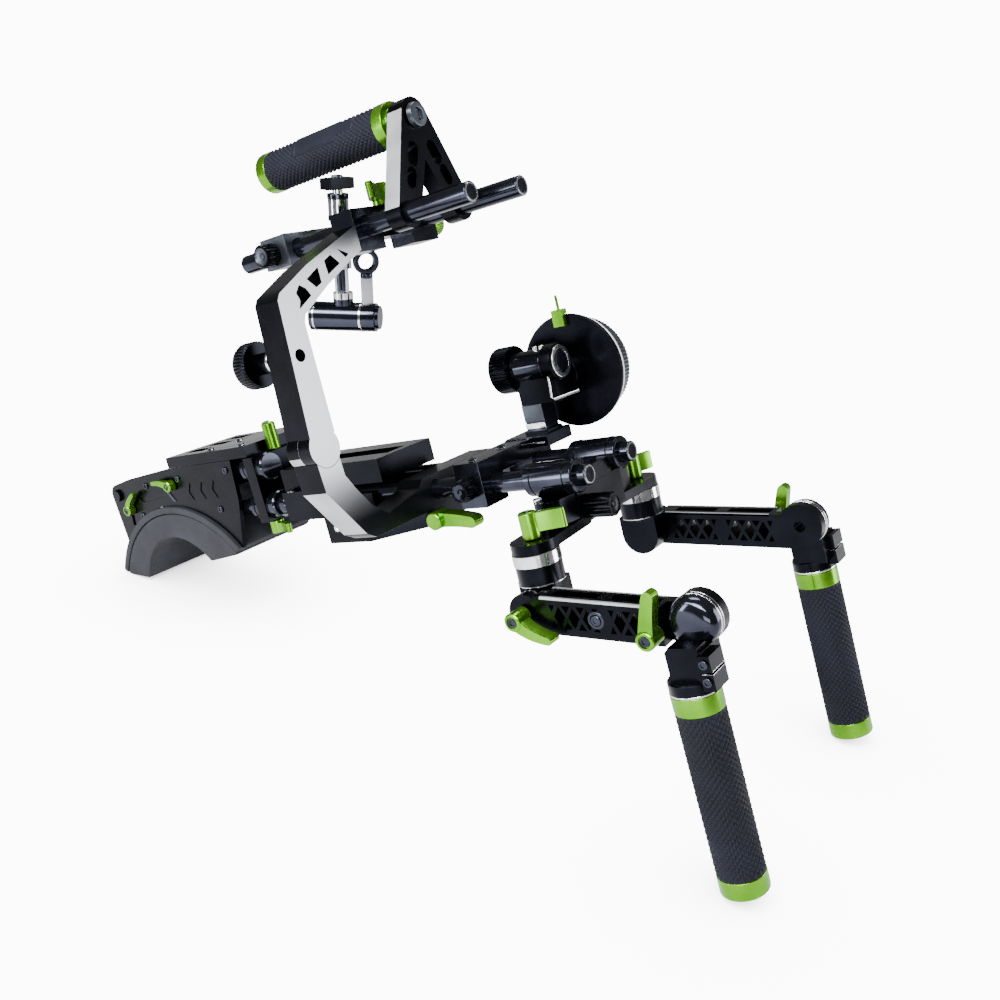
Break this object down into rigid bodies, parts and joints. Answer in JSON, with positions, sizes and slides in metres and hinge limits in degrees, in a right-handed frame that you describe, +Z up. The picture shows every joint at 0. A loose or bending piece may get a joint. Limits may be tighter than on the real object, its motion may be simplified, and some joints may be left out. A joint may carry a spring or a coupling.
{
  "type": "shoulder_camera_rig",
  "caption": "Shoulder-mounted camera rig on 15 mm rods with a C-arm top handle, follow focus, curved pad and folding two-handed grips, black with green levers",
  "frame": {"origin": "middle of the bounding box at floor level", "axes": "+X forward along the rig, +Y to the user's left, +Z up"},
  "size_m": [0.7264, 0.264, 0.4593],
  "materials": {
    "green_anodised": "satin anodised",
    "black_anodised": "satin anodised",
    "grey_anodised": "satin anodised",
    "polished_rod": "polished dark",
    "bright_metal": "polished",
    "grip_rubber": "textured matte",
    "pad_foam": "matte"
  },
  "bodies": {
    "base": {"lower_rod_right": "polished_rod", "lower_rod_left": "polished_rod", "lower_c_arm": "black_anodised", "base_block": "black_anodised", "c_arm_pivot_bolt": "bright_metal"},
    "base_lever_body": {"base_lever": "green_anodised"},
    "camera_plate_body": {"camera_plate": "black_anodised"},
    "shoulder": {"shoulder_pad": "pad_foam", "shoulder_plate_right": "black_anodised", "shoulder_plate_left": "black_anodised", "shoulder_deck": "black_anodised", "shoulder_tail_tube": "black_anodised", "shoulder_rod_right": "polished_rod", "shoulder_rod_left": "polished_rod", "shoulder_rod_clamp": "polished_rod"},
    "shoulder_clamp_lever_body": {"shoulder_clamp_lever": "green_anodised"},
    "shoulder_lower_lever_body": {"shoulder_lower_lever": "green_anodised"},
    "pad_lever_front_body": {"pad_lever_front": "green_anodised"},
    "pad_lever_rear_body": {"pad_lever_rear": "green_anodised"},
    "cage": {"upper_c_arm": "grey_anodised", "top_rod_clamp": "polished_rod", "top_rod_right": "polished_rod", "top_rod_left": "polished_rod"},
    "c_arm_knob_body": {"c_arm_knob": "black_anodised"},
    "top_clamp_knob_body": {"top_clamp_knob": "green_anodised"},
    "handle_lever_body": {"handle_lever": "green_anodised"},
    "top_handle": {"handle_bracket": "black_anodised", "handle_bolt": "bright_metal", "handle_core": "green_anodised", "handle_sleeve": "grip_rubber"},
    "accessory": {"accessory_clamp": "grey_anodised"},
    "accessory_knob_body": {"accessory_knob": "black_anodised"},
    "drop_arm": {"drop_post": "bright_metal"},
    "drop_head": {"drop_barrel": "black_anodised", "drop_ring_arm": "bright_metal"},
    "focus": {"focus_rod_clamp": "polished_rod", "focus_gearbox": "black_anodised", "focus_disc": "black_anodised"},
    "focus_clamp_knob_body": {"focus_clamp_knob": "black_anodised"},
    "focus_gear_body": {"focus_gear": "black_anodised"},
    "focus_handwheel_body": {"focus_handwheel": "grey_anodised"},
    "focus_pointer_body": {"focus_pointer": "green_anodised"},
    "handlebar": {"handlebar_clamp": "black_anodised"},
    "handlebar_knob_body": {"handlebar_knob": "black_anodised"},
    "swivel_right": {"swivel_drum_right": "black_anodised"},
    "swivel_lever_right_body": {"swivel_lever_right": "green_anodised"},
    "arm_right_body": {"arm_right": "black_anodised"},
    "arm_lever_right_body": {"arm_lever_right": "green_anodised"},
    "elbow_right_body": {"elbow_right": "black_anodised"},
    "elbow_lever_right_body": {"elbow_lever_right": "green_anodised"},
    "grip_right": {"grip_core_right": "green_anodised", "grip_sleeve_right": "grip_rubber"},
    "swivel_left": {"swivel_drum_left": "black_anodised"},
    "swivel_lever_left_body": {"swivel_lever_left": "green_anodised"},
    "arm_left_body": {"arm_left": "black_anodised"},
    "arm_lever_left_body": {"arm_lever_left": "green_anodised"},
    "elbow_left_body": {"elbow_left": "black_anodised"},
    "elbow_lever_left_body": {"elbow_lever_left": "green_anodised"},
    "grip_left": {"grip_core_left": "green_anodised", "grip_sleeve_left": "grip_rubber"}
  },
  "joints": [
    {"name": "camera_plate_slide", "type": "slide", "parent": "base", "child": "camera_plate_body", "axis": [0.9556, 0, 0.2946], "range_m": [-0.004, 0.008]},
    {"name": "shoulder_slide", "type": "slide", "parent": "base", "child": "shoulder", "axis": [0.9556, 0, 0.2946], "range_m": [-0.04, 0.003]},
    {"name": "focus_slide", "type": "slide", "parent": "base", "child": "focus", "axis": [0.9556, 0, 0.2946], "range_m": [-0.02, 0.01]},
    {"name": "handlebar_slide", "type": "slide", "parent": "base", "child": "handlebar", "axis": [0.9556, 0, 0.2946], "range_m": [-0.01, 0.007]},
    {"name": "cage_fold", "type": "hinge", "parent": "base", "child": "cage", "pos_m": [0.0203, -0.116, 0.23297], "axis": [0.9556, 0, 0.2946], "range_deg": [-8, 60]},
    {"name": "base_lever_turn", "type": "hinge", "parent": "base", "child": "base_lever_body", "pos_m": [0.06038, -0.037, 0.16067], "axis": [0, 1, 0], "range_deg": [0, 60]},
    {"name": "shoulder_clamp_lever_turn", "type": "hinge", "parent": "shoulder", "child": "shoulder_clamp_lever_body", "pos_m": [-0.14644, -0.003, 0.16796], "axis": [-0.2946, 0, 0.9556], "range_deg": [-30, 30]},
    {"name": "shoulder_lower_lever_turn", "type": "hinge", "parent": "shoulder", "child": "shoulder_lower_lever_body", "pos_m": [-0.13665, -0.017, 0.10735], "axis": [0.2946, 0, -0.9556], "range_deg": [-60, 60]},
    {"name": "pad_lever_front_turn", "type": "hinge", "parent": "shoulder", "child": "pad_lever_front_body", "pos_m": [-0.26166, -0.0303, 0.1157], "axis": [0, -1, 0], "range_deg": [-45, 30]},
    {"name": "pad_lever_rear_turn", "type": "hinge", "parent": "shoulder", "child": "pad_lever_rear_body", "pos_m": [-0.3306, -0.0303, 0.07456], "axis": [0, -1, 0], "range_deg": [-30, 30]},
    {"name": "c_arm_knob_turn", "type": "hinge", "parent": "cage", "child": "c_arm_knob_body", "pos_m": [-0.0103, -0.115, 0.29051], "axis": [-0.9556, 0, -0.2946], "continuous": true},
    {"name": "top_clamp_knob_turn", "type": "hinge", "parent": "cage", "child": "top_clamp_knob_body", "pos_m": [-0.02033, 0.0593, 0.36307], "axis": [0, 1, 0], "continuous": true},
    {"name": "handle_lever_turn", "type": "hinge", "parent": "cage", "child": "handle_lever_body", "pos_m": [-0.02443, 0.015, 0.38148], "axis": [-0.2946, 0, 0.9556], "range_deg": [-20, 60]},
    {"name": "top_handle_slide", "type": "slide", "parent": "cage", "child": "top_handle", "axis": [0.9556, 0, 0.2946], "range_m": [0, 0.045]},
    {"name": "accessory_slide", "type": "slide", "parent": "cage", "child": "accessory", "axis": [0.9556, 0, 0.2946], "range_m": [-0.03, 0.004]},
    {"name": "accessory_knob_turn", "type": "hinge", "parent": "accessory", "child": "accessory_knob_body", "pos_m": [-0.09768, -0.0313, 0.34414], "axis": [0, -1, 0], "continuous": true},
    {"name": "drop_post_swing", "type": "hinge", "parent": "accessory", "child": "drop_arm", "pos_m": [-0.06865, 0.013, 0.35519], "axis": [0, 1, 0], "range_deg": [-25, 5]},
    {"name": "drop_head_pan", "type": "hinge", "parent": "drop_arm", "child": "drop_head", "pos_m": [-0.06865, 0.013, 0.30689], "axis": [0, 0, 1], "range_deg": [-100, 55]},
    {"name": "focus_clamp_knob_turn", "type": "hinge", "parent": "focus", "child": "focus_clamp_knob_body", "pos_m": [0.09282, -0.0333, 0.19463], "axis": [0, -1, 0], "continuous": true},
    {"name": "focus_handwheel_turn", "type": "hinge", "parent": "focus", "child": "focus_handwheel_body", "pos_m": [0.11079, 0.0786, 0.26191], "axis": [0, 1, 0], "continuous": true},
    {"name": "focus_gear_turn", "type": "hinge", "parent": "focus", "child": "focus_gear_body", "pos_m": [0.07926, 0.047, 0.26475], "axis": [-0.9556, 0, -0.2946], "continuous": true},
    {"name": "focus_pointer_turn", "type": "hinge", "parent": "focus", "child": "focus_pointer_body", "pos_m": [0.11079, 0.0786, 0.26191], "axis": [0, 1, 0], "range_deg": [-40, 40]},
    {"name": "handlebar_knob_turn", "type": "hinge", "parent": "handlebar", "child": "handlebar_knob_body", "pos_m": [0.17751, -0.007, 0.19249], "axis": [0.9556, 0, 0.2946], "continuous": true},
    {"name": "swivel_right_turn", "type": "hinge", "parent": "handlebar", "child": "swivel_right", "pos_m": [0.156, -0.0587, 0.21202], "axis": [-0.2946, 0, 0.9556], "range_deg": [-60, 15]},
    {"name": "swivel_lever_right_turn", "type": "hinge", "parent": "handlebar", "child": "swivel_lever_right_body", "pos_m": [0.16504, -0.0587, 0.18268], "axis": [-0.2946, 0, 0.9556], "range_deg": [-40, 0]},
    {"name": "arm_right_turn", "type": "hinge", "parent": "swivel_right", "child": "arm_right_body", "pos_m": [0.17798, -0.0587, 0.14073], "axis": [0, 1, 0], "range_deg": [-3, 75]},
    {"name": "arm_lever_right_turn", "type": "hinge", "parent": "arm_right_body", "child": "arm_lever_right_body", "pos_m": [0.17798, -0.0868, 0.14073], "axis": [0, -1, 0], "range_deg": [-45, 45]},
    {"name": "elbow_right_turn", "type": "hinge", "parent": "arm_right_body", "child": "elbow_right_body", "pos_m": [0.29584, -0.0587, 0.17134], "axis": [0, 1, 0], "range_deg": [-90, 10]},
    {"name": "elbow_lever_right_turn", "type": "hinge", "parent": "arm_right_body", "child": "elbow_lever_right_body", "pos_m": [0.27324, -0.0853, 0.15781], "axis": [0, -1, 0], "range_deg": [-30, 30]},
    {"name": "grip_right_turn", "type": "hinge", "parent": "elbow_right_body", "child": "grip_right", "pos_m": [0.30392, -0.09, 0.13179], "axis": [-0.3294, 0, 0.9442], "range_deg": [-90, 90]},
    {"name": "swivel_left_turn", "type": "hinge", "parent": "handlebar", "child": "swivel_left", "pos_m": [0.156, 0.0847, 0.21202], "axis": [-0.2946, 0, 0.9556], "range_deg": [-15, 60]},
    {"name": "swivel_lever_left_turn", "type": "hinge", "parent": "handlebar", "child": "swivel_lever_left_body", "pos_m": [0.16504, 0.0847, 0.18268], "axis": [-0.2946, 0, 0.9556], "range_deg": [-40, 20]},
    {"name": "arm_left_turn", "type": "hinge", "parent": "swivel_left", "child": "arm_left_body", "pos_m": [0.17798, 0.0847, 0.14073], "axis": [0, 1, 0], "range_deg": [-3, 75]},
    {"name": "arm_lever_left_turn", "type": "hinge", "parent": "arm_left_body", "child": "arm_lever_left_body", "pos_m": [0.17798, 0.1128, 0.14073], "axis": [0, 1, 0], "range_deg": [-45, 45]},
    {"name": "elbow_left_turn", "type": "hinge", "parent": "arm_left_body", "child": "elbow_left_body", "pos_m": [0.29584, 0.0847, 0.17134], "axis": [0, 1, 0], "range_deg": [-90, 10]},
    {"name": "elbow_lever_left_turn", "type": "hinge", "parent": "arm_left_body", "child": "elbow_lever_left_body", "pos_m": [0.27324, 0.1113, 0.15781], "axis": [0, 1, 0], "range_deg": [-30, 30]},
    {"name": "grip_left_turn", "type": "hinge", "parent": "elbow_left_body", "child": "grip_left", "pos_m": [0.30392, 0.116, 0.13179], "axis": [-0.3294, 0, 0.9442], "range_deg": [-90, 90]}
  ],
  "couplings": [
    {"joint": "focus_gear_turn", "follows": "focus_handwheel_turn", "ratio": 1.5}
  ]
}
